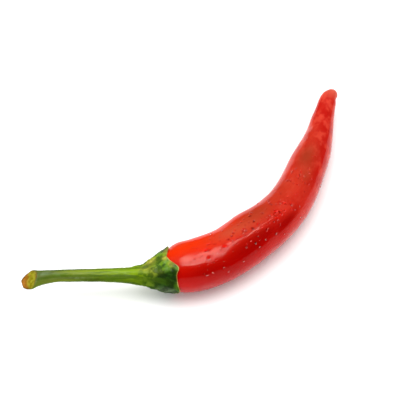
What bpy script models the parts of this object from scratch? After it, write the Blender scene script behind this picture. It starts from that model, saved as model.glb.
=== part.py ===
"""A fresh red chilli pepper as picked, lying on its side: the pod, the calyx that caps it, and the stem.

All three follow one bent line, the spine. A place on the spine is s, the distance along it from the
calyx's rim: positive towards the pod's tip, negative towards the stem's snapped end. Round the spine,
an angle of 0 is the pepper's left side, a quarter turn is its top and minus a quarter turn its belly.
"""

import math

import bmesh
import bpy
import numpy as np
from mathutils import Vector

# Driving sizes, in metres. Lengths are along the spine.
POD_LENGTH = 0.0883  # from the calyx's rim to the tip
POD_DIAMETER = 0.0144  # at its widest, just past the calyx
POD_BASE_DEPTH = 0.0052  # how far the pod's base reaches up inside the calyx
TIP_CAP = 0.0024  # the length over which the tip rounds off
CALYX_LENGTH = 0.0110  # from the neck to the rim between its teeth
CALYX_WALL = 0.0005  # at the rim
TOOTH_LENGTH = 0.0012  # how far a tooth of the rim reaches over the pod
TEETH = 5
TOOTH_TURN = math.radians(50)  # round from the left side to the first tooth
NECK_DIAMETER = 0.0046  # where the calyx runs into the stem
STEM_LENGTH = 0.0300  # from the calyx's neck to the snapped end
STEM_DIAMETER = 0.0032  # at its slimmest
NODE_DIAMETER = 0.0049  # the swelling at the snapped end
CLEARANCE = 0.0003  # between pieces that touch

# How it lies.
BELLY_PRESS = 0.00025  # how much of the belly is pressed flat on the surface
TIP_LIFT = 0.0045  # the tip's rise off the surface
TIP_LIFT_FROM = 0.68  # the share of the pod's length where that rise starts
STEM_RISE = 0.0015  # the snapped end's rise above the pod's axis
SNAP_SLANT = math.radians(38)  # the snapped face's lean, so that it looks up and back
SNAP_INSET = 0.0020  # the spine left off by the snap, at the middle of its face

# The spine's heading seen from above, in degrees from +X, along -1 (the snapped end) to 1 (the tip).
HEADINGS = (
    (-1.0, -20), (-0.8, -33), (-0.5, -39), (-0.2, -34), (0.0, -27), (0.1, -18), (0.2, -5),
    (0.4, 13), (0.6, 28), (0.8, 35), (1.0, 26),
)  # fmt: skip

# The pod's radius as a share of its widest, along its length.
POD_PROFILE = (
    (0.0, 0.96), (0.1, 1.0), (0.3, 0.95), (0.45, 0.86), (0.6, 0.78), (0.7, 0.69), (0.8, 0.53),
    (0.9, 0.38), (1.0, 0.25),
)  # fmt: skip
SHOULDER = 0.003  # the length over which the pod swells out again past the calyx's rim

# The calyx's flare from its neck at -1, where it is 0, to its rim at 0, where it is 1.
CALYX_FLARE = ((-1.0, 0.0), (-0.8, 0.11), (-0.6, 0.3), (-0.3, 0.65), (0.0, 1.0))

# The stem's swelling at each end, along 0 (the calyx's neck) to 1 (the snapped end).
NECK_SWELL = ((0.0, 1.0), (0.12, 0.62), (0.3, 0.28), (0.55, 0.0), (1.0, 0.0))
NODE_SWELL = ((0.0, 0.0), (0.6, 0.0), (0.8, 0.2), (0.9, 0.9), (0.94, 1.0), (1.0, 0.8))

# The pod's cross-section: three soft lobes, one for each chamber, which fade out along its length.
LOBES = 3
LOBE_DEPTH = 0.018  # a share of the radius
LOBE_TURN = math.radians(20)

# Its outline waves in and out, out of step on its two sides: (angle, first crest, pitch) as shares of length.
WAVE_DEPTH = 0.0003
WAVES = ((math.radians(27), 0.27, 0.34), (math.radians(207), 0.07, 0.36))

POD_SIDES = 28
CALYX_SIDES = 40
SPINE_STEP = 0.00025
BELLY = -math.pi / 2
STEM_SIDES_RESOLUTION = 4
STEM_POINTS = 36

RED = (0.52, 0.012, 0.006, 1)
DARK_GREEN = (0.06, 0.17, 0.02, 1)
LIGHT_GREEN = (0.17, 0.30, 0.03, 1)


def through(knots, places):
    """A smooth curve through (place, value) knots, its slope at each the mean of those either side."""
    x, y = np.array(knots, float).T
    slopes = np.gradient(y, x)
    cell = np.clip(np.searchsorted(x, places) - 1, 0, len(x) - 2)
    width = x[cell + 1] - x[cell]
    t = np.clip((places - x[cell]) / width, 0, 1)
    rise = t * t * (3 - 2 * t)
    return (
        y[cell] * (1 - rise)
        + y[cell + 1] * rise
        + slopes[cell] * width * t * (1 - t) ** 2
        - slopes[cell + 1] * width * t * t * (1 - t)
    )


def waves(share, angle):
    """How far the pod's skin stands in or out: a wave along each side, strongest in the middle."""
    fade = np.sin(math.pi * share) ** 0.5
    sides = [
        (0.5 + 0.5 * np.cos(angle - side)) * np.cos(math.tau * (share - crest) / pitch)
        for side, crest, pitch in WAVES
    ]
    return WAVE_DEPTH * fade * sum(sides)


def pod_radius(s, angle):
    """The visible pod's radius: its profile with lobes, drawn in under the calyx's rim, round at the tip."""
    share = np.clip(s / POD_LENGTH, 0, 1)
    lobes = 1 + LOBE_DEPTH * (1 - share) * np.cos(LOBES * (angle - LOBE_TURN))
    seat = (CALYX_WALL + CLEARANCE) * np.clip(1 - s / SHOULDER, 0, 1) ** 2
    cap = np.clip((s - (POD_LENGTH - TIP_CAP)) / TIP_CAP, 0, 1)
    full = POD_DIAMETER / 2 * through(POD_PROFILE, share) * lobes
    return (full + waves(share, angle) - seat) * np.sqrt(1 - cap * cap)


def calyx_outer(s, angle):
    """The calyx's outer radius: a trumpet from the neck to the rim, then its teeth lie on the pod."""
    rim = pod_radius(np.maximum(s, 0), angle) + CLEARANCE + CALYX_WALL
    flare = through(CALYX_FLARE, np.clip(s / CALYX_LENGTH, -1, 0))
    return NECK_DIAMETER / 2 + (rim - NECK_DIAMETER / 2) * flare


def seat_radius(s, angle, gap):
    """The pod's base inside the calyx, or the calyx's hollow round it when gap is the clearance."""
    depth = POD_BASE_DEPTH + gap
    closing = np.sqrt(np.clip(1 - (np.minimum(s, 0) / depth) ** 4, 0, 1))
    inside = np.where(s < 0, calyx_outer(s, angle) - CALYX_WALL, pod_radius(s, angle) + CLEARANCE)
    return (inside - CLEARANCE + gap) * closing


def spine_height(s):
    """The spine's height: the belly rests on the surface, and the tip and the stem rise off it."""
    widest = POD_PROFILE[1][0] * POD_LENGTH
    lift = np.clip((s / POD_LENGTH - TIP_LIFT_FROM) / (1 - TIP_LIFT_FROM), 0, 1) ** 1.8
    rise = np.clip(-s / (CALYX_LENGTH + STEM_LENGTH), 0, 1) ** 1.5
    before_cap = np.clip(s, widest, POD_LENGTH - TIP_CAP)
    return pod_radius(before_cap, BELLY) - BELLY_PRESS + TIP_LIFT * lift + STEM_RISE * rise


def make_spine():
    """Points and directions every SPINE_STEP from the snapped end to the tip, walked along the headings."""
    green = CALYX_LENGTH + STEM_LENGTH
    s = np.arange(-green, POD_LENGTH + SPINE_STEP, SPINE_STEP)
    heading = np.radians(through(HEADINGS, np.where(s < 0, s / green, s / POD_LENGTH)))
    height = spine_height(s)
    level = np.sqrt(np.maximum(1 - np.gradient(height, s) ** 2, 0))
    along = np.stack([np.cos(heading) * level, np.sin(heading) * level, np.gradient(height, s)], 1)
    steps = (along[1:] + along[:-1]) / 2 * SPINE_STEP
    points = np.vstack([np.zeros(3), np.cumsum(steps, 0)])
    points[:, 2] = height
    return s, points, along


SPINE = make_spine()


def on_spine(s):
    """The spine's point and unit directions (along, left, up) at each s."""
    places, points, directions = SPINE
    point = np.stack([np.interp(s, places, points[:, i]) for i in range(3)], -1)
    along = np.stack([np.interp(s, places, directions[:, i]) for i in range(3)], -1)
    along /= np.linalg.norm(along, axis=-1, keepdims=True)
    left = np.cross([0.0, 0.0, 1.0], along)
    left /= np.linalg.norm(left, axis=-1, keepdims=True)
    return point, along, left, np.cross(along, left)


def ring(s, radius, angle):
    """A ring of points round the spine, none of them below the surface that the pepper lies on."""
    point, _, left, up = on_spine(s)
    out = radius[:, None] * (np.cos(angle)[:, None] * left + np.sin(angle)[:, None] * up)
    points = point + out
    points[:, 2] = np.maximum(points[:, 2], 0)
    return points


def loft(name, rings, first, last, colour):
    """A closed skin over rings of equally many points, drawn to a point at each end."""
    mesh = bmesh.new()
    rows = [[mesh.verts.new(point) for point in points] for points in rings]
    for low, high in zip(rows, rows[1:]):
        for i in range(len(low)):
            j = (i + 1) % len(low)
            mesh.faces.new((low[i], low[j], high[j], high[i]))
    for row, pole, at_start in ((rows[0], first, True), (rows[-1], last, False)):
        end = mesh.verts.new(pole)
        for i in range(len(row)):
            pair = (row[(i + 1) % len(row)], row[i]) if at_start else (row[i], row[(i + 1) % len(row)])
            mesh.faces.new((*pair, end))
    bmesh.ops.recalc_face_normals(mesh, faces=mesh.faces)
    data = bpy.data.meshes.new(name)
    mesh.to_mesh(data)
    mesh.free()
    data.shade_smooth()
    return add_piece(name, data, colour)


def add_piece(name, data, colour):
    """An object in the pepper's collection, held by its empty, with a material of its own."""
    piece = bpy.data.objects.new(name, data)
    bpy.data.collections["chilli_pepper"].objects.link(piece)
    piece.parent = bpy.data.objects["pepper_origin"]
    material = bpy.data.materials.new(name)
    material.use_nodes = True
    shader = material.node_tree.nodes["Principled BSDF"]
    shader.inputs["Base Color"].default_value = colour
    shader.inputs["Roughness"].default_value = 0.35
    shader.inputs["Metallic"].default_value = 0
    data.materials.append(material)
    return piece


def round_places(start, end, count):
    """Places from start to end, crowded towards start, for a surface that rounds off there."""
    return start + (end - start) * (1 - np.cos(np.linspace(0, math.pi / 2, count)))


def make_pod():
    angle = np.arange(POD_SIDES) * math.tau / POD_SIDES
    base = round_places(-POD_BASE_DEPTH, 0, 8)[1:-1]
    shoulder = np.linspace(0, SHOULDER, 4)
    body = np.linspace(SHOULDER, POD_LENGTH - TIP_CAP, 34)[1:]
    tip = round_places(POD_LENGTH, POD_LENGTH - TIP_CAP, 6)[1:-1][::-1]
    places = np.concatenate([base, shoulder, body, tip])
    rings = [
        ring(s, seat_radius(s, angle, 0) if s < 0 else pod_radius(s, angle), angle) for s in places
    ]
    ends = on_spine(np.array([-POD_BASE_DEPTH, POD_LENGTH]))[0]
    loft("pod", rings, ends[0], ends[1], RED)


def make_calyx():
    """A trumpet from the neck out to its toothed rim, and back in over the pod's base."""
    angle = np.arange(CALYX_SIDES) * math.tau / CALYX_SIDES
    rim = TOOTH_LENGTH * (0.5 + 0.5 * np.cos(TEETH * (angle - TOOTH_TURN))) ** 1.5
    outside = [-CALYX_LENGTH + (rim + CALYX_LENGTH) * share for share in np.linspace(0, 1, 12)]
    depth = POD_BASE_DEPTH + CLEARANCE
    inside = [rim - (rim + depth) * share for share in 1 - round_places(0, 1, 9)[1:][::-1]]
    rings = [ring(s, calyx_outer(s, angle), angle) for s in outside]
    rings += [ring(s, seat_radius(s, angle, CLEARANCE), angle) for s in inside]
    ends = on_spine(np.array([-CALYX_LENGTH, -depth]))[0]
    loft("calyx", rings, ends[0], ends[1], DARK_GREEN)


def make_stem():
    """A round stalk along the spine, swollen at both ends, with its far end snapped off at a slant."""
    places = -CALYX_LENGTH - CLEARANCE - np.linspace(0, STEM_LENGTH - CLEARANCE, STEM_POINTS)
    share = np.linspace(0, 1, STEM_POINTS)
    radius = (
        STEM_DIAMETER / 2
        + (NECK_DIAMETER - STEM_DIAMETER) / 2 * through(NECK_SWELL, share)
        + (NODE_DIAMETER - STEM_DIAMETER) / 2 * through(NODE_SWELL, share)
    )
    curve = bpy.data.curves.new("stem", "CURVE")
    curve.dimensions = "3D"
    curve.bevel_depth = STEM_DIAMETER / 2
    curve.bevel_resolution = STEM_SIDES_RESOLUTION
    curve.use_fill_caps = True
    line = curve.splines.new("POLY")
    line.points.add(STEM_POINTS - 1)
    for point, place, size in zip(line.points, on_spine(places)[0], radius / (STEM_DIAMETER / 2)):
        point.co = (*place, 1)
        point.radius = size
    guide = bpy.data.objects.new("stem_guide", curve)
    bpy.context.scene.collection.objects.link(guide)
    graph = bpy.context.evaluated_depsgraph_get()
    data = bpy.data.meshes.new_from_object(guide.evaluated_get(graph))
    bpy.data.objects.remove(guide)
    snap_off(data)
    data.name = "stem"
    data.materials.clear()
    data.shade_smooth()
    add_piece("stem", data, LIGHT_GREEN)


def snap_off(data):
    """Cuts the stem's far end off at a slant, so that the snapped face looks up and back."""
    point, along, _, up = on_spine(np.array([-CALYX_LENGTH - STEM_LENGTH + SNAP_INSET]))
    normal = Vector(-along[0]) * math.cos(SNAP_SLANT) + Vector(up[0]) * math.sin(SNAP_SLANT)
    mesh = bmesh.new()
    mesh.from_mesh(data)
    bmesh.ops.remove_doubles(mesh, verts=mesh.verts, dist=1e-6)
    everything = mesh.verts[:] + mesh.edges[:] + mesh.faces[:]
    cut = bmesh.ops.bisect_plane(
        mesh, geom=everything, plane_co=Vector(point[0]), plane_no=normal, clear_outer=True
    )
    edges = [part for part in cut["geom_cut"] if isinstance(part, bmesh.types.BMEdge)]
    bmesh.ops.contextual_create(mesh, geom=edges)
    bmesh.ops.recalc_face_normals(mesh, faces=mesh.faces)
    mesh.to_mesh(data)
    mesh.free()


def stand_on_origin():
    """Moves the empty so that the origin is under the middle of the pepper's box."""
    origin = bpy.data.objects["pepper_origin"]
    corners = np.array([corner for piece in origin.children for corner in piece.bound_box])
    middle = (corners.min(0) + corners.max(0)) / 2
    origin.location = (-middle[0], -middle[1], -corners[:, 2].min())


def main():
    for old in list(bpy.data.objects):
        bpy.data.objects.remove(old)
    pepper = bpy.data.collections.new("chilli_pepper")
    bpy.context.scene.collection.children.link(pepper)
    pepper.objects.link(bpy.data.objects.new("pepper_origin", None))
    make_pod()
    make_calyx()
    make_stem()
    stand_on_origin()


main()
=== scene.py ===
"""The looks of a fresh red chilli pepper lying on its side, with drops of water on it.

Everything follows the pepper's spine, as its CAD solids do. A place on the spine is s, the distance along
it from the calyx's rim: positive towards the pod's tip, negative towards the stem's snapped end. Round the
spine, 0 degrees is the pepper's left side, 90 its top, 180 its right side and 270 its belly. Lengths are in
metres unless a name or a comment says otherwise.
"""

import math

import bpy
import numpy as np
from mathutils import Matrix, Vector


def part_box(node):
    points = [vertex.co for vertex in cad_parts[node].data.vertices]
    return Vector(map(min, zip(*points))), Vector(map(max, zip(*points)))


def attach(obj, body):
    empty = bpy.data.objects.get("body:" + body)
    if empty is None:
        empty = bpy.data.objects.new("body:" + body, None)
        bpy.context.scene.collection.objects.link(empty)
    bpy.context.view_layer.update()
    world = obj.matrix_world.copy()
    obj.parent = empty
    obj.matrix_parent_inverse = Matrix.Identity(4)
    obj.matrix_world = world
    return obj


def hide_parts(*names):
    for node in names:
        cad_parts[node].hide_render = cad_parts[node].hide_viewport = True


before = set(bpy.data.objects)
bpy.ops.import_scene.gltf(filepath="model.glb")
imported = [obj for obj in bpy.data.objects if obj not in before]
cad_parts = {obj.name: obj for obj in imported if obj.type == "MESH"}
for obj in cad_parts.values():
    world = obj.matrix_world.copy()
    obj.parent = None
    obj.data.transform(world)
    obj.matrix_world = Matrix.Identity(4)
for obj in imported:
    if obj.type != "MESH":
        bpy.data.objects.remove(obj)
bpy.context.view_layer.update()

MM = 0.001

# The design's driving sizes. All but SHOULDER are as the CAD solids have them.
POD_LENGTH = 0.0883
POD_DIAMETER = 0.0144
POD_BASE_DEPTH = 0.0052
TIP_CAP = 0.0024
CALYX_LENGTH = 0.0110
CALYX_WALL = 0.0005
STEM_LENGTH = 0.0300
STEM_DIAMETER = 0.0032
NODE_DIAMETER = 0.0049
CLEARANCE = 0.0003
BELLY_PRESS = 0.00025
TIP_LIFT = 0.0045
TIP_LIFT_FROM = 0.68
STEM_RISE = 0.0015
SNAP_SLANT = math.radians(38)
SNAP_INSET = 0.0020
HEADINGS = (
    (-1.0, -20), (-0.8, -33), (-0.5, -39), (-0.2, -34), (0.0, -27), (0.1, -18), (0.2, -5),
    (0.4, 13), (0.6, 28), (0.8, 35), (1.0, 26),
)  # fmt: skip
POD_PROFILE = (
    (0.0, 0.96), (0.1, 1.0), (0.3, 0.95), (0.45, 0.86), (0.6, 0.78), (0.7, 0.69), (0.8, 0.53),
    (0.9, 0.38), (1.0, 0.25),
)  # fmt: skip
SHOULDER = 0.0045  # the pod swells out past the calyx's rim over a longer stretch than in CAD
RIM_TUCK = 0.75  # and is drawn in there by this share of what the CAD pod is
LOBES = 3
LOBE_DEPTH = 0.018
LOBE_TURN = math.radians(20)
WAVE_DEPTH = 0.0003
WAVES = ((math.radians(27), 0.27, 0.34), (math.radians(207), 0.07, 0.36))
SPINE_STEP = 0.00025
BELLY = -math.pi / 2

# Swellings and dents of the pod: (s in mm, degrees round, height in mm, half length in mm, half width in
# degrees).
POD_SWELLINGS = (
    (10, 38, 0.14, 4.0, 30),
    (23, 33, 0.35, 5.0, 45),
    (58, 13, 0.32, 5.0, 40),
    (66, 12, 0.22, 5.0, 45),
    (76, 14, 0.32, 4.5, 50),
    (84, 16, 0.62, 3.6, 60),
    (74, 190, 0.15, 6.0, 50),
    (85, 195, -0.35, 1.3, 55),
    (2.2, 32, 0.18, 2.4, 35),
    (17, 106, 0.22, 4.5, 14),
    (6, 134, 0.10, 6.0, 18),
    (34, 112, 0.10, 10.0, 14),
    (22, 109, 0.07, 5.0, 11),
    (50, 60, -0.12, 8.0, 25),
    (60, 118, -0.10, 9.0, 18),
)
TIP_TRIM = 0.00035  # how much shorter the skin is than the CAD pod

# Where the pod's colour changes, as the swellings but with a strength from 0 to 1 in place of the height.
DUSTY = (
    (16, 80, 0.9, 6.0, 20), (24, 86, 0.6, 6.0, 19), (2, 52, 0.4, 3, 16), (40, 85, 0.4, 10, 40),
    (66, 60, 0.3, 6, 40),
)  # fmt: skip
SUNNY = ((2, 70, 1.0, 14, 42), (20, 52, 0.5, 10, 26))
BRUISES = (
    (55, 82, 0.85, 6.2, 29), (47.5, 107, 0.5, 3.5, 13), (27, 72, 0.7, 7.0, 26), (40, 60, 0.3, 6, 30),
)  # fmt: skip
# Painted shade: these rows paint the pod a darker red along its lower front, which faces away from the light.
PAINTED_SHADE_RED = (
    (19, 132, 1.0, 9.0, 22), (24, 124, 0.5, 4.0, 10), (32, 140, 0.95, 5.0, 13), (5, 142, 0.6, 6.0, 17),
    (12, 162, 0.5, 9.0, 22), (60, 118, 0.2, 6.0, 11), (44, 128, 0.45, 6.0, 14),
)  # fmt: skip

# Where the green skin's colour changes, in the same way.
# Pale yellow patches on the calyx; the faint row at -4.5 mm and 126 degrees is a painted highlight.
PALE_PATCHES_AND_PAINTED_HIGHLIGHT = (
    (-3.0, 84, 1.0, 0.8, 9), (-6.8, 72, 0.9, 1.4, 15), (-2.3, 60, 0.7, 0.9, 9), (-6.6, 124, 0.2, 1.3, 16),
    (-4.5, 126, 0.1, 0.8, 8), (-1.6, 108, 0.7, 0.8, 9), (-8.6, 96, 0.4, 1.5, 20),
)  # fmt: skip
# Mostly painted shade: the green is darkened on the calyx's lower right and along the stem's underside, with
# some real dark patches on the calyx.
DARK_PATCHES_AND_PAINTED_SHADE = (
    (-2.6, 142, 1.0, 2.4, 17), (-3.4, 180, 1.0, 3.0, 34), (-1.4, 122, 0.6, 0.7, 9), (-7.0, 108, 0.5, 1.0, 9),
    (-5.0, 152, 0.75, 2.4, 20), (-14, 178, 0.6, 7.0, 34), (-23, 165, 0.65, 6.0, 36),
    (-35, 130, 0.35, 6.0, 45), (-2.5, 250, 0.8, 3.5, 50), (-2.5, 330, 0.7, 3.0, 40),
)  # fmt: skip
# Grey-green patches on the top tooth's edge and the stem's end; the row at 196 degrees is a painted bluish
# sheen on the calyx's underside.
GREY_PATCHES_AND_PAINTED_SHEEN = (
    (-2.2, 42, 1.0, 3.6, 12), (-3.2, 196, 0.7, 2.6, 14), (-33, 40, 0.8, 7.0, 26), (-35, 90, 0.6, 3.0, 18),
    (-28, 150, 0.5, 4.0, 12),
)  # fmt: skip

# The calyx and stem as one skin: how far it has flared from the stem's radius, along s in calyx lengths.
GREEN_FLARE = (
    (-3.7, 0.0), (-2.4, 0.012), (-1.6, 0.045), (-1.0, 0.125), (-0.72, 0.29), (-0.43, 0.6), (-0.2, 0.83),
    (0.0, 1.0),
)  # fmt: skip
# The stem's swelling at its snapped end, along 0 (the calyx's neck) to 1 (the end).
NODE_SWELL = ((0.0, 0.0), (0.55, 0.0), (0.75, 0.12), (0.86, 0.55), (0.94, 1.0), (1.0, 1.08))
# Swellings and dents of the calyx and the stem, as the pod's.
GREEN_SWELLINGS = (
    (-10.5, 212, 0.62, 4.4, 60),
    (-10, 45, -0.20, 3.0, 45),
    (-38.2, 67, 0.35, 1.5, 40),
    (-38.7, 175, 0.50, 1.5, 35),
    (-40.5, 315, 0.40, 1.5, 40),
    (-5.0, 215, 0.35, 2.6, 45),
    (-20, 215, 0.16, 8.0, 60),
)

# The calyx's rim: (degrees round, reach over the pod in mm) at its teeth and the dips between them.
RIM_MM = (
    (14, -2.2), (36, -2.0), (50, -1.2), (64, -1.9), (83, -2.4), (109, -1.1), (123, -0.1), (136, -0.7),
    (165, -0.8), (196, -0.5), (214, -1.4), (240, -0.9), (266, -0.1), (302, -1.5), (338, -0.2), (374, -2.2),
)  # fmt: skip
# Where the stem's snapped edge stands out or was torn back: (0, degrees round, reach in mm, 1, half width
# in degrees), so that swellings() at s = 0 gives the reach.
TORN = ((0, 298, 0.55, 1, 36), (0, 232, -0.45, 1, 26))
RIM_THICKNESS = 0.0004
RIM_GAP = 0.00008  # between the rim and the pod's skin
RIBS = 5
RIB_TURN = math.radians(50)
RIB_TWIST = math.radians(25)
OVERLAP = 0.0012  # how far the calyx's skin and the stem's each run on past the neck
TUCK = 0.06 * MM  # how far each is drawn in there, so that the two skins don't meet face to face
BULGE = 0.35 * MM  # how far the snapped face's middle stands out

# The larger drops of water: (s in mm, degrees round, width in mm before DROP_SPREAD widens it).
LARGE_DROPS = (
    (19.7, 95, 1.3), (8.1, 101, 1.1), (12.6, 108, 1.3), (15.1, 104, 0.9), (16.7, 87, 0.8), (21.9, 102, 0.8),
    (24.1, 101, 0.8), (11.7, 57, 0.7), (7.8, 119, 1.2), (4.3, 114, 0.7), (19.4, 122, 0.6), (14.3, 96, 0.7),
    (16.4, 105, 0.7), (31.0, 104, 1.0), (34.9, 103, 0.9), (28.6, 103, 0.8), (36.0, 119, 0.9),
)  # fmt: skip
DROP_SPREAD = 1.15
SMALL_DROPS = 170


def through(knots, places):
    """A smooth curve through (place, value) knots, its slope at each the mean of those either side."""
    x, y = np.array(knots, float).T
    slopes = np.gradient(y, x)
    cell = np.clip(np.searchsorted(x, places) - 1, 0, len(x) - 2)
    width = x[cell + 1] - x[cell]
    t = np.clip((places - x[cell]) / width, 0, 1)
    rise = t * t * (3 - 2 * t)
    return (
        y[cell] * (1 - rise)
        + y[cell + 1] * rise
        + slopes[cell] * width * t * (1 - t) ** 2
        - slopes[cell + 1] * width * t * t * (1 - t)
    )


def ease(low, high, value):
    """0 up to low and 1 from high, with a smooth S between."""
    t = np.clip((value - low) / (high - low), 0, 1)
    return t * t * (3 - 2 * t)


def ripple(place, size, seed, waves=18):
    """Smooth random relief about as wide as size: the mean of sine waves in seeded random directions."""
    chance = np.random.default_rng(seed)
    way = chance.normal(size=(waves, 3))
    way *= (chance.uniform(0.7, 1.4, waves) / np.linalg.norm(way, axis=1))[:, None]
    phase = chance.uniform(0, math.tau, waves)
    return np.sin(place @ way.T * (math.pi / size) + phase).sum(-1) / math.sqrt(waves)


# The spine and the pod's outline, by the CAD solids' formulas but for how the pod is drawn in at the calyx.


def pod_outline(s, angle):
    """The pod's radius: its profile times soft lobes, plus a wave on each side, drawn in at both ends."""
    share = np.clip(s / POD_LENGTH, 0, 1)
    lobes = 1 + LOBE_DEPTH * (1 - share) * np.cos(LOBES * (angle - LOBE_TURN))
    sides = [
        (0.5 + 0.5 * np.cos(angle - side)) * np.cos(math.tau * (share - crest) / pitch)
        for side, crest, pitch in WAVES
    ]
    waves = WAVE_DEPTH * np.sin(math.pi * share) ** 0.5 * sum(sides)
    seat = RIM_TUCK * (CALYX_WALL + CLEARANCE) * np.clip(1 - s / SHOULDER, 0, 1) ** 2
    cap = np.clip((s - (POD_LENGTH - TIP_CAP)) / TIP_CAP, 0, 1)
    return (POD_DIAMETER / 2 * through(POD_PROFILE, share) * lobes + waves - seat) * np.sqrt(1 - cap * cap)


def spine_height(s):
    """The spine's height: the belly rests on the surface, and the tip and the stem rise off it."""
    widest = POD_PROFILE[1][0] * POD_LENGTH
    lift = np.clip((s / POD_LENGTH - TIP_LIFT_FROM) / (1 - TIP_LIFT_FROM), 0, 1) ** 1.8
    rise = np.clip(-s / (CALYX_LENGTH + STEM_LENGTH), 0, 1) ** 1.5
    before_cap = np.clip(s, widest, POD_LENGTH - TIP_CAP)
    return pod_outline(before_cap, BELLY) - BELLY_PRESS + TIP_LIFT * lift + STEM_RISE * rise


def walk_spine():
    """Points and directions every SPINE_STEP, each a step along the heading from the one before."""
    green = CALYX_LENGTH + STEM_LENGTH
    s = np.arange(-green, POD_LENGTH + SPINE_STEP, SPINE_STEP)
    heading = np.radians(through(HEADINGS, np.where(s < 0, s / green, s / POD_LENGTH)))
    height = spine_height(s)
    level = np.sqrt(np.maximum(1 - np.gradient(height, s) ** 2, 0))
    along = np.stack([np.cos(heading) * level, np.sin(heading) * level, np.gradient(height, s)], 1)
    points = np.vstack([np.zeros(3), np.cumsum((along[1:] + along[:-1]) / 2 * SPINE_STEP, 0)])
    points[:, 2] = height
    return s, points, along


SPINE = walk_spine()


def on_spine(s):
    """The spine's point and unit directions (along, left, up) at each s."""
    places, points, directions = SPINE
    point = np.stack([np.interp(s, places, points[:, i]) for i in range(3)], -1)
    along = np.stack([np.interp(s, places, directions[:, i]) for i in range(3)], -1)
    along /= np.linalg.norm(along, axis=-1, keepdims=True)
    left = np.cross([0.0, 0.0, 1.0], along)
    left /= np.linalg.norm(left, axis=-1, keepdims=True)
    return point, along, left, np.cross(along, left)


def on_surface(s, radius, angle):
    """Points at a radius and angle round the spine, eased up onto the surface where they would pass it."""
    point, _, left, up = on_spine(s)
    points = point + radius[..., None] * (np.cos(angle)[..., None] * left + np.sin(angle)[..., None] * up)
    ease_height = 0.00008
    points[..., 2] = (points[..., 2] + np.hypot(points[..., 2], ease_height)) / 2
    return points


def unbent(s, radius, angle):
    """The same points on a pepper with a straight spine: patterns use these, to follow its length."""
    return np.stack([s + 0 * radius, radius * np.cos(angle), radius * np.sin(angle)], -1)


def swellings(s, angle, rows):
    """The sum of smooth bumps, each a bell curve along the spine times one round it."""
    total = 0 * (s + angle)
    for at_mm, round_deg, height_mm, length_mm, width_deg in rows:
        turn = np.degrees(angle) - round_deg
        turn = (turn + 180) % 360 - 180
        bell = np.exp(-(((s - at_mm * MM) / (length_mm * MM)) ** 2) - (turn / width_deg) ** 2)
        total = total + height_mm * MM * bell
    return total


def grid(s_places, columns):
    """A row of s for each place by a column for each angle, from the belly all the way round."""
    angle = BELLY + np.arange(columns) * math.tau / columns
    return np.broadcast_arrays(np.asarray(s_places)[:, None], angle[None, :])


def make_skin(name, rows, first, last, finish, patterns):
    """A closed mesh: a grid of points, joined all the way round, drawn to a point at each end.

    patterns holds one array of values per attribute, shaped as the grid, with or without three parts.
    """
    count, columns = rows.shape[:2]
    points = np.vstack([rows.reshape(-1, 3), first, last])
    here = np.arange(count * columns).reshape(count, columns)
    beside = np.roll(here, -1, axis=1)
    quads = np.stack([here[:-1], beside[:-1], beside[1:], here[1:]], -1).reshape(-1, 4)
    near = np.stack([beside[0], here[0], np.full(columns, count * columns)], -1)
    far = np.stack([here[-1], beside[-1], np.full(columns, count * columns + 1)], -1)
    mesh = bpy.data.meshes.new(name)
    mesh.from_pydata(points.tolist(), [], quads.tolist() + near.tolist() + far.tolist())
    mesh.shade_smooth()
    for label, values in patterns.items():
        values = values.reshape(count * columns, -1)
        values = np.vstack([values, values[:columns].mean(0), values[-columns:].mean(0)])
        kind, field = ("FLOAT_VECTOR", "vector") if values.shape[1] == 3 else ("FLOAT", "value")
        mesh.attributes.new(label, kind, "POINT").data.foreach_set(field, values.ravel().astype(np.float32))
    piece = bpy.data.objects.new(name, mesh)
    bpy.context.scene.collection.objects.link(piece)
    mesh.materials.append(finish)
    return piece


# Finishes.


def tint(hex_colour):
    """A linear colour from an sRGB hex value."""
    channels = [int(hex_colour[i : i + 2], 16) / 255 for i in (0, 2, 4)]
    return (*[c / 12.92 if c <= 0.04045 else ((c + 0.055) / 1.055) ** 2.4 for c in channels], 1)


def per(size_mm):
    """A texture scale that makes a pattern about size_mm wide, on coordinates in metres."""
    return 1 / (size_mm * MM)


def add(tree, kind, links=None, **settings):
    """Adds a node: links sets its inputs to a value or another node's output, settings its own options."""
    node = tree.nodes.new(kind)
    for option, value in settings.items():
        setattr(node, option, value)
    for socket, value in (links or {}).items():
        if isinstance(value, bpy.types.NodeSocket):
            tree.links.new(value, node.inputs[socket])
        else:
            node.inputs[socket].default_value = value
    return node


def new_finish(name):
    """An empty material, its node tree and its Principled shader."""
    finish = bpy.data.materials.new(name)
    finish.use_nodes = True
    return finish, finish.node_tree, finish.node_tree.nodes["Principled BSDF"]


def blend_colours(tree, amount, low, high):
    """One colour laid over another by an amount; each is a hex value or an output."""
    low, high = [tint(c) if isinstance(c, str) else c for c in (low, high)]
    mix = add(tree, "ShaderNodeMix", {0: amount, 6: low, 7: high}, data_type="RGBA", clamp_factor=True)
    return mix.outputs[2]


def ramp(tree, amount, low, high):
    """An amount spread so that low becomes 0 and high becomes 1, smoothly."""
    links = {"Value": amount, "From Min": low, "From Max": high}
    return add(tree, "ShaderNodeMapRange", links, interpolation_type="SMOOTHSTEP").outputs["Result"]


def mottle(tree, place, size_mm, stretch=(1, 1, 1), detail=2.0):
    """Cloudy noise about size_mm wide, drawn out along the pepper where stretch is under 1."""
    links = {"Vector": place, "Scale": stretch}
    drawn = add(tree, "ShaderNodeMapping", links)
    links = {"Vector": drawn.outputs[0], "Scale": per(size_mm), "Detail": detail, "Roughness": 0.55}
    return add(tree, "ShaderNodeTexNoise", links).outputs["Fac"]


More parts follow.
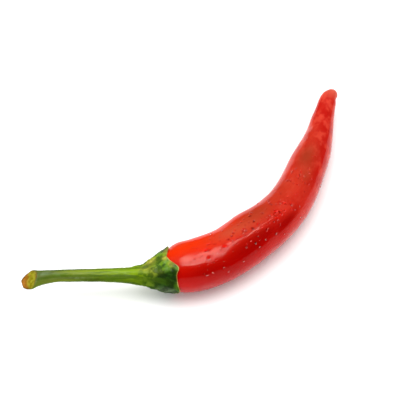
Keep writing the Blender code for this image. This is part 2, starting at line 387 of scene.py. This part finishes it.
def waxy_red_skin():
    """Ripe chilli skin: a thin smooth cuticle with a shine, over flesh whose red is never quite even, with
    painted shade along its lower front.
    """
    finish, tree, shader = new_finish("waxy_red_skin")
    place = add(tree, "ShaderNodeAttribute", attribute_name="unbent").outputs["Vector"]
    sun = add(tree, "ShaderNodeAttribute", attribute_name="sun").outputs["Fac"]
    bruise = add(tree, "ShaderNodeAttribute", attribute_name="bruise").outputs["Fac"]
    far = add(tree, "ShaderNodeAttribute", attribute_name="far").outputs["Fac"]
    tip = add(tree, "ShaderNodeAttribute", attribute_name="tip").outputs["Fac"]
    dusty = add(tree, "ShaderNodeAttribute", attribute_name="dusty").outputs["Fac"]
    cloud = ramp(tree, mottle(tree, place, 7, (0.5, 1, 1)), 0.35, 0.68)
    fine = ramp(tree, mottle(tree, place, 2.8, (0.7, 1, 1)), 0.35, 0.7)
    red = blend_colours(tree, cloud, "AE0000", "B90300")
    painted_shade_red = add(tree, "ShaderNodeAttribute", attribute_name="painted_shade_red").outputs["Fac"]
    dull = blend_colours(tree, cloud, "AE140D", "C02C1F")
    dull = blend_colours(tree, ramp(tree, fine, 0.1, 1.15), dull, "C93C2C")
    red = blend_colours(tree, far, red, dull)
    # Painted shade: a darker red along the pod's lower front.
    red = blend_colours(tree, painted_shade_red, red, "900000")
    red = blend_colours(tree, sun, red, "D62B03")
    red = blend_colours(tree, dusty, red, "B84028")
    red = blend_colours(tree, bruise, red, "92321B")
    red = blend_colours(tree, tip, red, "C95341")
    shader.inputs["Subsurface Weight"].default_value = 0.08
    shader.inputs["Subsurface Radius"].default_value = (1.0, 0.1, 0.05)
    shader.inputs["Subsurface Scale"].default_value = 1.2 * MM
    tree.links.new(red, shader.inputs["Base Color"])
    grain = mottle(tree, place, 0.9, detail=3)
    rough = add(tree, "ShaderNodeMapRange", {"Value": grain, "To Min": 0.08, "To Max": 0.15})
    tree.links.new(rough.outputs["Result"], shader.inputs["Roughness"])
    links = {"Height": grain, "Strength": 0.22, "Distance": 0.05 * MM}
    tree.links.new(add(tree, "ShaderNodeBump", links).outputs["Normal"], shader.inputs["Normal"])
    shader.inputs["IOR"].default_value = 1.22
    shader.inputs["Specular Tint"].default_value = tint("FFF0E0")
    return finish


def green_skin():
    """Chilli calyx and stem: matt-satin green skin, streaked along its ribs, yellower where it is young, with
    painted shade underneath and in its grooves.
    """
    finish, tree, shader = new_finish("green_skin")
    place = add(tree, "ShaderNodeAttribute", attribute_name="unbent").outputs["Vector"]
    rim = add(tree, "ShaderNodeAttribute", attribute_name="rim").outputs["Fac"]
    painted_groove_shade = add(tree, "ShaderNodeAttribute", attribute_name="painted_groove_shade").outputs["Fac"]
    along = add(tree, "ShaderNodeSeparateXYZ", {"Vector": place}).outputs["X"]
    pale, shade, grey_and_painted_sheen = [
        add(tree, "ShaderNodeAttribute", attribute_name=label).outputs["Fac"]
        for label in ("pale", "shade", "grey_and_painted_sheen")
    ]
    stem_green = blend_colours(tree, ramp(tree, along, -0.036, -0.023), "687524", "7B8D1C")
    stem_green = blend_colours(tree, ramp(tree, along, -0.025, -0.014), stem_green, "7C9A04")
    streak = mottle(tree, place, 1.0, (0.1, 1, 1), 3)
    stem_green = blend_colours(tree, ramp(tree, streak, 0.47, 0.6), stem_green, "5B7608")
    blotch = ramp(tree, mottle(tree, place, 1.5, (0.8, 1, 1), 3), 0.42, 0.6)
    calyx_green = blend_colours(tree, blotch, "375800", "708A19")
    green = blend_colours(tree, ramp(tree, along, -0.012, -0.0075), stem_green, calyx_green)
    leaf_green = blend_colours(tree, blotch, "2F4F00", "5A8509")
    green = blend_colours(tree, ramp(tree, along, -0.0065, -0.003), green, leaf_green)
    # Mostly painted shade, with some real dark patches: the green darkened on the calyx's lower right and the
    # stem's underside.
    dark_green = blend_colours(tree, blotch, "142C00", "224305")
    green = blend_colours(tree, shade, green, dark_green)
    # Pale yellow patches, one faint row of them a painted highlight.
    links = {"Value": blotch, "To Min": 0.55, "To Max": 1.1}
    speckled = add(tree, "ShaderNodeMapRange", links).outputs["Result"]
    pale = add(tree, "ShaderNodeMath", {0: pale, 1: speckled}, operation="MULTIPLY").outputs[0]
    green = blend_colours(tree, pale, green, "B9AF43")
    # Grey-green patches, one of them a painted bluish sheen on the calyx's underside.
    grey_and_sheen_green = blend_colours(tree, blotch, "434F38", "637155")
    green = blend_colours(tree, grey_and_painted_sheen, green, grey_and_sheen_green)
    # Painted shade in the grooves between the ribs.
    green = blend_colours(tree, painted_groove_shade, green, "3E5703")
    edge = blend_colours(tree, ramp(tree, mottle(tree, place, 1.4), 0.45, 0.6), "947132", "C6B162")
    green = blend_colours(tree, rim, green, edge)
    tree.links.new(green, shader.inputs["Base Color"])
    lumps = mottle(tree, place, 0.8, detail=3)
    rough = add(tree, "ShaderNodeMapRange", {"Value": lumps, "To Min": 0.35, "To Max": 0.55})
    tree.links.new(rough.outputs["Result"], shader.inputs["Roughness"])
    both = add(tree, "ShaderNodeMath", {0: lumps, 1: streak}, operation="ADD").outputs[0]
    links = {"Height": both, "Strength": 0.5, "Distance": 0.3 * MM}
    tree.links.new(add(tree, "ShaderNodeBump", links).outputs["Normal"], shader.inputs["Normal"])
    shader.inputs["IOR"].default_value = 1.26
    shader.inputs["Specular IOR Level"].default_value = 0.08
    return finish


def snapped_flesh():
    """Dried flesh where the stem broke off its branch: olive and orange, with a brown corky edge."""
    finish, tree, shader = new_finish("snapped_flesh")
    place = add(tree, "ShaderNodeAttribute", attribute_name="unbent").outputs["Vector"]
    edge = add(tree, "ShaderNodeAttribute", attribute_name="edge").outputs["Fac"]
    orange = add(tree, "ShaderNodeAttribute", attribute_name="orange").outputs["Fac"]
    cloud = ramp(tree, mottle(tree, place, 1.2), 0.4, 0.62)
    olive = blend_colours(tree, cloud, "7A7200", "948E1E")
    tan = blend_colours(tree, cloud, "915B0C", "A76C27")
    flesh = blend_colours(tree, orange, olive, tan)
    speck = ramp(tree, mottle(tree, place, 0.5, detail=3), 0.6, 0.7)
    flesh = blend_colours(tree, speck, flesh, "8E6818")
    flesh = blend_colours(tree, edge, flesh, "5A4622")
    tree.links.new(flesh, shader.inputs["Base Color"])
    shader.inputs["Roughness"].default_value = 0.7
    shader.inputs["Specular IOR Level"].default_value = 0.02
    links = {"Height": mottle(tree, place, 0.4, detail=3), "Strength": 0.6, "Distance": 0.2 * MM}
    tree.links.new(add(tree, "ShaderNodeBump", links).outputs["Normal"], shader.inputs["Normal"])
    return finish


def clear_water():
    """Beads of water: see-through, tinted darker throughout and darker still at the foot, all painted shade
    that gives each bead a dark rim; with a bright highlight and the faintest ripple.
    """
    finish, tree, shader = new_finish("clear_water")
    foot = add(tree, "ShaderNodeAttribute", attribute_name="foot").outputs["Fac"]
    # Painted shade: the water is tinted darker, and darker still where the attribute named foot marks a
    # painted dark rim.
    tree.links.new(blend_colours(tree, foot, "D49088", "3A0404"), shader.inputs["Base Color"])
    shader.inputs["Transmission Weight"].default_value = 1.0
    shader.inputs["IOR"].default_value = 1.33
    shader.inputs["Roughness"].default_value = 0.02
    shader.inputs["Coat Weight"].default_value = 1.0
    shader.inputs["Coat Roughness"].default_value = 0.02
    shader.inputs["Coat IOR"].default_value = 1.8
    place = add(tree, "ShaderNodeTexCoord").outputs["Object"]
    ripples = add(tree, "ShaderNodeTexNoise", {"Vector": place, "Scale": per(0.6)}).outputs["Fac"]
    links = {"Height": ripples, "Strength": 0.1, "Distance": 0.02 * MM}
    tree.links.new(add(tree, "ShaderNodeBump", links).outputs["Normal"], shader.inputs["Normal"])
    return finish


# Pieces.


def pod_skin(s, angle):
    """The pod's radius with its fine relief: swellings, long soft undulations and shallow ridges."""
    base = pod_outline(s, angle)
    fade = ease(0, 0.004, s) * (1 - ease(POD_LENGTH - 0.003, POD_LENGTH, s))
    place = unbent(s, base, angle)
    long_place = place * np.array([0.45, 1, 1])
    relief = 0.055 * MM * ripple(long_place, 5 * MM, 3) + 0.026 * MM * ripple(place, 2.2 * MM, 5)
    taper = np.sqrt(np.clip((POD_LENGTH - s) / TIP_CAP, 0, 1))
    return base + fade * relief + swellings(s, angle, POD_SWELLINGS) * taper


def calyx_inside(s, angle):
    """The pod's base, hidden in the calyx: the green skin less its wall, closing to a round end."""
    closing = np.sqrt(np.clip(1 - (np.minimum(s, 0) / POD_BASE_DEPTH) ** 4, 0, 1))
    return (green_smooth(s, angle) - RIM_GAP - RIM_THICKNESS) * closing


def trim(s):
    """How much the tip is drawn back, easing in over its last few millimetres."""
    return TIP_TRIM * ease(POD_LENGTH - 0.008, POD_LENGTH, s)


def make_pod():
    """From its base in the calyx, along the body to the tip: rings crowd together where it rounds off."""
    base = -POD_BASE_DEPTH * np.cos(np.linspace(0, math.pi / 2, 14))[1:-1]
    shoulder = np.linspace(0, SHOULDER, 24)[:-1]
    body = np.linspace(SHOULDER, POD_LENGTH - TIP_CAP, 350)[:-1]
    tip = POD_LENGTH - TIP_CAP * (1 - np.sin(np.linspace(0, math.pi / 2, 26)))[:-1]
    s, angle = grid(np.concatenate([base, shoulder, body, tip]), 230)
    radius = np.where(s < 0, calyx_inside(s, angle), pod_skin(s, angle))
    ends = on_spine(np.array([-POD_BASE_DEPTH, POD_LENGTH - TIP_TRIM]))[0]
    sun = np.clip(swellings(s, angle, SUNNY) / MM, 0, 1)
    bruises = np.clip(swellings(s, angle, BRUISES) / MM, 0, 1)
    # The painted shade along the pod's lower front.
    painted_shade_red = np.clip(swellings(s, angle, PAINTED_SHADE_RED) / MM, 0, 1)
    dusty = np.clip(swellings(s, angle, DUSTY) / MM, 0, 1)
    far = 0.6 * ease(0.018, 0.040, s) + 0.4 * ease(0.040, 0.070, s)
    patterns = {
        "unbent": unbent(s, radius, angle),
        "sun": sun,
        "bruise": bruises,
        "far": far,
        "painted_shade_red": painted_shade_red,
        "dusty": dusty,
        "tip": ease(POD_LENGTH - 0.006, POD_LENGTH - 0.001, s),
    }
    rows = on_surface(s - trim(s), radius, angle)
    return make_skin("pod_skin", rows, ends[0], ends[1], waxy_red_skin(), patterns)


def rim_reach(angle):
    """How far the calyx's rim reaches over the pod at each angle, through its teeth and dips."""
    turn = 14 + (np.degrees(angle) - 14) % 360
    return through(RIM_MM, turn) * MM


def green_smooth(s, angle):
    """The green skin's radius: the stem's, with its node, flared out to stand on the pod at the rim."""
    down = np.clip(-(s + CALYX_LENGTH) / STEM_LENGTH, 0, 1)
    node = (NODE_DIAMETER - STEM_DIAMETER) / 2 * through(NODE_SWELL, down)
    stalk = STEM_DIAMETER / 2 + node
    rim = pod_outline(np.maximum(s, 0), angle) + RIM_GAP + RIM_THICKNESS
    flare = through(GREEN_FLARE, np.clip(s / CALYX_LENGTH, GREEN_FLARE[0][0], 0))
    return stalk + (rim - STEM_DIAMETER / 2) * flare + swellings(s, angle, GREEN_SWELLINGS)


def rib(s, angle):
    """0 in the grooves to 1 on the ribs, which run from the teeth down the stem with a slow twist."""
    twist = RIB_TURN - RIB_TWIST * ease(-0.008, -0.015, s)
    return (0.5 + 0.5 * np.cos(RIBS * (angle - twist))) ** 1.5


def green_radius(s, angle):
    """The green skin with its relief: ribs, deepest on the calyx, and lumps between them."""
    base = green_smooth(s, angle)
    place = unbent(s, base, angle)
    on_calyx = ease(-0.013, -0.007, s)
    fade = 1 - ease(-0.0015, 0.0, s) * 0.8
    depth = (0.12 + 0.22 * on_calyx * fade) * MM
    lumps = (0.03 + 0.15 * on_calyx * fade) * MM * ripple(place * np.array([0.6, 1, 1]), 1.3 * MM, 11)
    grit = (0.015 + 0.03 * on_calyx) * MM * ripple(place, 0.6 * MM, 12)
    return base + depth * (rib(s, angle) - 0.45) + lumps + grit


def green_patterns(s, radius, angle, rim):
    """The green skin's attributes: its place on a straight pepper, its rim, the painted shade in its grooves,
    and its patches, some of which are painted shade, highlight and sheen.
    """
    # Painted shade in the grooves between the ribs, fading out towards the rim.
    painted_groove_shade = 0.6 * (1 - ease(0.0, 0.2, rib(s, angle))) * ease(-0.001, -0.007, s)
    patterns = {"unbent": unbent(s, radius, angle), "rim": rim, "painted_groove_shade": painted_groove_shade}
    for label, rows in (("pale", PALE_PATCHES_AND_PAINTED_HIGHLIGHT), ("shade", DARK_PATCHES_AND_PAINTED_SHADE), ("grey_and_painted_sheen", GREY_PATCHES_AND_PAINTED_SHEEN)):
        patterns[label] = np.clip(swellings(s, angle, rows) / MM, 0, 1)
    return patterns


def make_calyx(finish):
    """Out along the stem's end and up the trumpet to the rim, over its edge and back in round the pod."""
    neck = -CALYX_LENGTH - OVERLAP
    share, angle = grid(np.linspace(0, 1, 120), 240)
    reach = rim_reach(angle)
    s = neck + (reach - neck) * share
    under = TUCK * ease(-CALYX_LENGTH, neck, s)
    outside = green_radius(s, angle) - under
    rows = [on_surface(s, outside, angle)]
    s_all, r_all, rim_all = [s], [outside], [0.8 * ease(-0.00022, 0.0, s - reach)]
    last_s, last_r = s[-1:], outside[-1:]
    inner = pod_outline(np.maximum(last_s, 0), angle[-1:]) + RIM_GAP
    inner = np.where(last_s < 0, np.minimum(inner, last_r - RIM_THICKNESS), inner)
    for turn in np.linspace(0, math.pi / 2, 5)[1:]:
        s_edge = last_s + 0.1 * MM * math.sin(turn)
        r_edge = last_r + (inner - last_r) * (1 - math.cos(turn))
        rows.append(on_surface(s_edge, r_edge, angle[-1:]))
        s_all.append(s_edge)
        r_all.append(r_edge)
        rim_all.append(np.ones_like(s_edge))
    depth = POD_BASE_DEPTH + CLEARANCE
    for back in np.linspace(0.15, 1, 12):
        s_in = last_s + (-depth - last_s) * back
        closing = np.sqrt(np.clip(1 - (np.minimum(s_in, 0) / (depth + 1e-6)) ** 4, 0, 1))
        wall = green_smooth(s_in, angle[-1:]) - RIM_THICKNESS
        r_in = np.where(s_in < 0, wall * closing, pod_outline(s_in, angle[-1:]) + RIM_GAP)
        rows.append(on_surface(s_in, r_in, angle[-1:]))
        s_all.append(s_in)
        r_all.append(r_in)
        rim_all.append(np.zeros_like(s_in))
    s, radius = np.vstack(s_all), np.vstack(r_all)
    angle = np.broadcast_to(angle[:1], s.shape)
    ends = on_spine(np.array([neck, -depth]))[0]
    patterns = green_patterns(s, radius, angle, np.vstack(rim_all))
    return make_skin("calyx_skin", np.vstack(rows), ends[0], ends[1], finish, patterns)


def make_stem(finish):
    """The stalk's skin from its snapped rim to just inside the calyx, and the snapped face that closes it."""
    end = -CALYX_LENGTH - STEM_LENGTH + SNAP_INSET
    columns = 160
    share, angle = grid(np.linspace(0, 1, 330), columns)
    torn = swellings(0 * angle, angle, TORN)
    far = end + green_smooth(np.full_like(angle, end), angle) * np.sin(angle) * math.tan(SNAP_SLANT) - torn
    inside = -CALYX_LENGTH + OVERLAP
    s = far + (inside - far) * share
    radius = green_radius(s, angle) - TUCK * ease(-CALYX_LENGTH, inside, s)
    radius = radius - 0.12 * MM * ease(0.0004, 0.0, s - far)
    face = np.sqrt(np.linspace(0, 1, 22)[1:-1])
    share_face, angle_face = grid(face, columns)
    r_face = radius[:1] * share_face
    s_face = end + r_face * np.sin(angle_face) * math.tan(SNAP_SLANT) - torn[:1] * share_face**2
    lumps = 0.14 * MM * ripple(unbent(s_face, r_face, angle_face), 0.9 * MM, 21)
    s_face = s_face + (-BULGE * (1 - share_face**2) + lumps) * (1 - share_face**6)
    s_all, r_all = np.vstack([s_face, s]), np.vstack([r_face, radius])
    angle_all = np.broadcast_to(angle[:1], s_all.shape)
    patterns = green_patterns(s_all, r_all, angle_all, np.zeros_like(s_all))
    orange_side = math.radians(-63)
    lean = share_face * np.cos(angle_face - orange_side)
    corky = ease(0.8, 1.0, share_face) * (0.35 + 0.65 * ease(-0.3, 0.5, lean))
    patterns["edge"] = np.vstack([corky, np.ones_like(s)])
    patterns["orange"] = np.vstack([ease(-0.1, 0.55, lean), np.zeros_like(s)])
    ends = on_spine(np.array([end - BULGE, inside]))[0]
    points = on_surface(s_all, r_all, angle_all)
    stem = make_skin("stem_skin", points, ends[0], ends[1], finish, patterns)
    stem.data.materials.append(snapped_flesh())
    flesh = np.zeros(len(stem.data.polygons), np.int32)
    flesh[: len(face) * columns] = 1
    quads = (len(s_all) - 1) * columns
    flesh[quads : quads + columns] = 1
    stem.data.polygons.foreach_set("material_index", flesh)
    return stem


def drop_places():
    """The larger drops, and smaller ones strewn over the upper side, most of them near the calyx."""
    chance = np.random.default_rng(8)
    s = 0.003 + 0.055 * chance.beta(1.3, 1.9, SMALL_DROPS)
    angle = np.radians(chance.normal(108, 24, SMALL_DROPS))
    width = np.clip(chance.lognormal(math.log(0.5), 0.3, SMALL_DROPS), 0.3, 0.9) * MM
    large = np.array(LARGE_DROPS)
    s = np.concatenate([large[:, 0] * MM, s])
    angle = np.concatenate([np.radians(large[:, 1]), angle])
    return s, angle, np.concatenate([DROP_SPREAD * large[:, 2] * MM, width])


def make_drops():
    """Each drop is part of a ball standing on the skin: rings from its foot up to its crown."""
    s, angle, width = drop_places()
    step = 0.0003
    centre = on_surface(s - trim(s), pod_skin(s, angle), angle)
    ahead = on_surface(s + step, pod_skin(s + step, angle), angle) - centre
    turned = on_surface(s, pod_skin(s, angle + 0.04), angle + 0.04) - centre
    ahead /= np.linalg.norm(ahead, axis=1, keepdims=True)
    outward = np.cross(turned, ahead)
    outward /= np.linalg.norm(outward, axis=1, keepdims=True)
    side = np.cross(outward, ahead)
    sides, contact = 14, math.radians(72)
    rise = np.array([-0.12, 0.0, 0.16, 0.45, 0.8])
    ball = 0.5 / math.sin(contact)
    polar = contact * (1 - np.maximum(rise, 0))
    ring_out, ring_up = ball * np.sin(polar), ball * (np.cos(polar) - math.cos(contact))
    ring_up = np.where(rise < 0, rise, ring_up)
    turn = np.arange(sides) * math.tau / sides
    flat = ring_out[:, None, None] * np.stack([np.cos(turn), np.sin(turn)], -1)
    points = (
        flat[None, :, :, :1] * ahead[:, None, None]
        + flat[None, :, :, 1:] * side[:, None, None]
        + ring_up[None, :, None, None] * outward[:, None, None]
    )
    crown = ball * (1 - math.cos(contact)) * outward
    foot = rise[0] * outward
    rings = len(rise)
    block = np.concatenate([points.reshape(len(s), -1, 3), foot[:, None], crown[:, None]], 1)
    block = centre[:, None] + block * width[:, None, None]
    here = np.arange(rings * sides).reshape(rings, sides)
    beside = np.roll(here, -1, 1)
    quads = np.stack([here[:-1], beside[:-1], beside[1:], here[1:]], -1).reshape(-1, 4)
    low = np.stack([beside[0], here[0], np.full(sides, rings * sides)], -1)
    top = np.stack([here[-1], beside[-1], np.full(sides, rings * sides + 1)], -1)
    size = rings * sides + 2
    faces = []
    for start in range(0, len(s) * size, size):
        faces += (quads + start).tolist() + (low + start).tolist() + (top + start).tolist()
    mesh = bpy.data.meshes.new("water_drops")
    mesh.from_pydata(block.reshape(-1, 3).tolist(), [], faces)
    mesh.shade_smooth()
    # Where each drop's painted dark rim lies: its lowest two rings, half of the third, and its foot point.
    dark = np.concatenate([np.repeat([1.0, 1.0, 0.5, 0.0, 0.0], sides), [1.0, 0.0]])
    painted_rim_attribute = mesh.attributes.new("foot", "FLOAT", "POINT")
    painted_rim_attribute.data.foreach_set("value", np.tile(dark, len(s)).astype(np.float32))
    drops = bpy.data.objects.new("water_drops", mesh)
    bpy.context.scene.collection.objects.link(drops)
    mesh.materials.append(clear_water())
    return drops


# The frame's place for it all: the pod's box in CAD tells how far the spine's start lies from the origin.


def line_up(pieces):
    """Moves the new meshes so that the pod's tip and its middle line are where the CAD pod's are."""
    low, high = [np.array(corner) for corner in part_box("pod")]
    s, angle = grid(np.linspace(0, POD_LENGTH, 400), 120)
    outline = on_surface(s, pod_outline(s, angle), angle).reshape(-1, 3)
    shift = (low + high) / 2 - (outline.min(0) + outline.max(0)) / 2
    shift[0] = high[0] - outline[:, 0].max()
    for piece in pieces:
        points = np.empty(len(piece.data.vertices) * 3, np.float32)
        piece.data.vertices.foreach_get("co", points)
        points = points.reshape(-1, 3) + np.array([shift[0], shift[1], 0], np.float32)
        piece.data.vertices.foreach_set("co", points.ravel())
        piece.data.update()


def make_floor():
    """A plain pale table, wide enough to be what every view and every glancing reflection sees."""
    bpy.ops.mesh.primitive_plane_add(size=6)
    floor = bpy.context.object
    floor.name = "floor"
    finish, tree, shader = new_finish("pale_table")
    place = add(tree, "ShaderNodeTexCoord").outputs["Object"]
    cloud = add(tree, "ShaderNodeTexNoise", {"Vector": place, "Scale": per(40)}).outputs["Fac"]
    tree.links.new(blend_colours(tree, cloud, "F5F5F5", "F7F7F7"), shader.inputs["Base Color"])
    shader.inputs["Roughness"].default_value = 0.6
    shader.inputs["Specular IOR Level"].default_value = 0.2
    floor.data.materials.append(finish)


CAMERA_AZIMUTH = math.radians(-41.1)
CAMERA_ELEVATION = math.radians(50)
CAMERA_DISTANCE = 0.3742
CAMERA_AIM = (-0.0019, 0.0087, 0.006)

# Radiances. A pair is what a panel gives, then how bright its twin looks in reflections.
OVERHEAD = (1.6, 14)
REAR = (0.93, 5.0)
WALLS = (0.8, 0.9)
SOFTBOX = 56  # only seen in reflections
AROUND = 1.0  # the room, which isn't seen in reflections


def make_camera():
    """A long lens that looks down on the pepper from its right, over the pod's base."""
    lens = bpy.data.cameras.new("camera")
    lens.lens = 120
    lens.sensor_width = 36
    lens.clip_start = 0.01
    camera = bpy.data.objects.new("camera", lens)
    bpy.context.scene.collection.objects.link(camera)
    level = math.cos(CAMERA_ELEVATION)
    back = (math.sin(CAMERA_AZIMUTH) * level, -math.cos(CAMERA_AZIMUTH) * level, math.sin(CAMERA_ELEVATION))
    camera.location = [aim + CAMERA_DISTANCE * part for aim, part in zip(CAMERA_AIM, back)]
    camera.rotation_euler = (math.pi / 2 - CAMERA_ELEVATION, 0, CAMERA_AZIMUTH)
    bpy.context.scene.camera = camera


def soft_light(name, right, forward, height, wide, tall, radiance, turn=None, shine=False):
    """A rectangular panel, placed to the camera's right and forward.

    It lies flat facing down, or stands turned to face in where turn is given. A panel of shine is only seen
    in reflections, and the others aren't seen in them.
    """
    panel = bpy.data.lights.new(name, "AREA")
    panel.shape = "RECTANGLE"
    panel.size = wide
    panel.size_y = tall
    panel.energy = radiance * math.pi * wide * tall
    light = bpy.data.objects.new(name, panel)
    bpy.context.scene.collection.objects.link(light)
    across = np.array([math.cos(CAMERA_AZIMUTH), math.sin(CAMERA_AZIMUTH)])
    away = np.array([-math.sin(CAMERA_AZIMUTH), math.cos(CAMERA_AZIMUTH)])
    place = right * across + forward * away
    light.location = (place[0], place[1], height)
    standing = turn is not None
    light.rotation_euler = (math.pi / 2 if standing else 0, 0, CAMERA_AZIMUTH + (turn if standing else 0))
    light.visible_diffuse = not shine
    light.visible_transmission = not shine
    light.visible_glossy = shine


def make_lights():
    """Soft panels overhead and to the rear, pale walls either side of the far end, and two softboxes.

    Each panel and wall is a pair: one gives light, and its twin is the shine that reflections show.
    """
    panels = (("overhead_panel", -0.03, OVERHEAD), ("rear_panel", 0.62, REAR))
    for name, forward, (lighting, shine) in panels:
        soft_light(name, -0.35, forward, 1.0, 2.0, 0.65, lighting)
        soft_light(name + "_shine", -0.35, forward, 1.0, 2.0, 0.65, shine, shine=True)
    soft_light("softbox_shine", 0.07, -0.05, 1.0, 0.84, 0.70, SOFTBOX, shine=True)
    soft_light("side_softbox_shine", 0.59, 0.26, 1.0, 0.2, 0.32, 0.8 * SOFTBOX, shine=True)
    for name, side in (("left_wall", -1), ("right_wall", 1)):
        turn = math.radians(40) * side
        right, forward = 1.2 * math.sin(turn), 1.2 * math.cos(turn)
        soft_light(name, right, forward, 0.55, 1.94, 1.1, WALLS[0], -turn)
        soft_light(name + "_shine", right, forward, 0.55, 1.94, 1.1, WALLS[1], -turn, True)
    world = bpy.data.worlds.new("dim_studio")
    world.use_nodes = True
    world.node_tree.nodes["Background"].inputs["Color"].default_value = (1, 1, 1, 1)
    world.node_tree.nodes["Background"].inputs["Strength"].default_value = AROUND
    world.cycles_visibility.glossy = False
    bpy.context.scene.world = world
    bpy.context.scene.view_settings.view_transform = "Standard"


make_camera()
make_lights()
make_floor()
skin = green_skin()
pod = make_pod()
calyx = make_calyx(skin)
stem = make_stem(skin)
drops = make_drops()
line_up([pod, calyx, stem, drops])
for piece, node, slot in (
    (pod, "pod", "pod_skin"),
    (calyx, "calyx", "calyx_skin"),
    (stem, "stem", "stem_skin"),
):
    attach(piece, "root")
    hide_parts(node)
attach(drops, "root")
